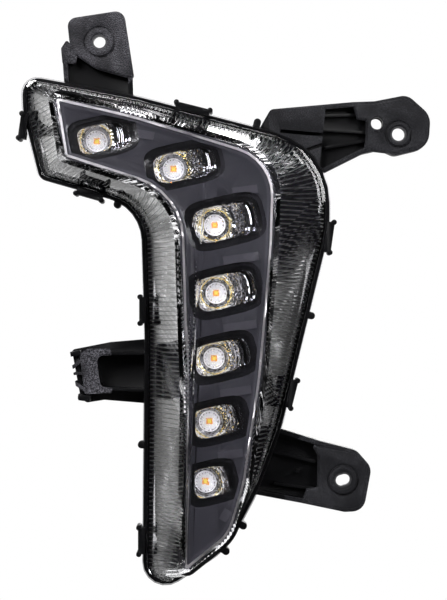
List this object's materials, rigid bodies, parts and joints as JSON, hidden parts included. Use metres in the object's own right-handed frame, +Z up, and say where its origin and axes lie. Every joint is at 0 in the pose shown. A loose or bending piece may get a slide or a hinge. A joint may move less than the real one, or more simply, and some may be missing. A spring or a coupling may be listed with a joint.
{
  "type": "front parking light",
  "caption": "Elbow-shaped LED parking and daytime light for a car bumper: clear fluted lens over a dark bezel with faceted cells, on a black housing with fixing brackets.",
  "frame": {"origin": "centre of the top tab's fixing hole, in the plane of the bracket pads' back faces", "axes": "+X towards the arm side across the car, +Y into the bumper, +Z up; the lamp shines along -Y"},
  "size_m": [0.205, 0.0665, 0.2844],
  "materials": {
    "housing_plastic": "fine grained black polypropylene",
    "clear_lens": "clear moulded polycarbonate, fluted inside",
    "sealant": "dark sealing bead",
    "bezel_plastic": "dark grey satin plastic",
    "bright_trim": "satin bright strip",
    "reflector_chrome": "bright metallised facets",
    "optic_clear": "clear moulded dome",
    "led_phosphor": "yellow phosphor on white ceramic",
    "board_resist": "white solder resist",
    "spreader": "bare cast aluminium",
    "link_plastic": "black header",
    "driver_resist": "green solder resist",
    "pin_plating": "tinned brass",
    "cap_rubber": "black rubber",
    "screw_zinc": "zinc plated",
    "screw_zinc_small": "zinc plated",
    "sleeve_black": "black plated steel",
    "sleeve_black_arm": "black plated steel",
    "sleeve_black_foot": "black plated steel"
  },
  "bodies": {
    "root": {"housing": "housing_plastic", "lens": "clear_lens", "lens_seal": "sealant", "bezel": "bezel_plastic", "bezel_trim": "bright_trim", "reflector_1": "reflector_chrome", "reflector_2": "reflector_chrome", "reflector_3": "reflector_chrome", "reflector_4": "reflector_chrome", "reflector_5": "reflector_chrome", "reflector_6": "reflector_chrome", "reflector_7": "reflector_chrome", "optic_1": "optic_clear", "optic_2": "optic_clear", "optic_3": "optic_clear", "optic_4": "optic_clear", "optic_5": "optic_clear", "optic_6": "optic_clear", "optic_7": "optic_clear", "led_1": "led_phosphor", "led_2": "led_phosphor", "led_3": "led_phosphor", "led_4": "led_phosphor", "led_5": "led_phosphor", "led_6": "led_phosphor", "led_7": "led_phosphor", "led_board": "board_resist", "heat_spreader": "spreader", "board_link": "link_plastic", "driver_board": "driver_resist", "terminal_pins": "pin_plating", "vent_cap": "cap_rubber", "board_screws": "screw_zinc", "driver_screws": "screw_zinc_small", "tab_sleeve": "sleeve_black", "arm_sleeve": "sleeve_black_arm", "foot_sleeve": "sleeve_black_foot"}
  },
  "joints": []
}
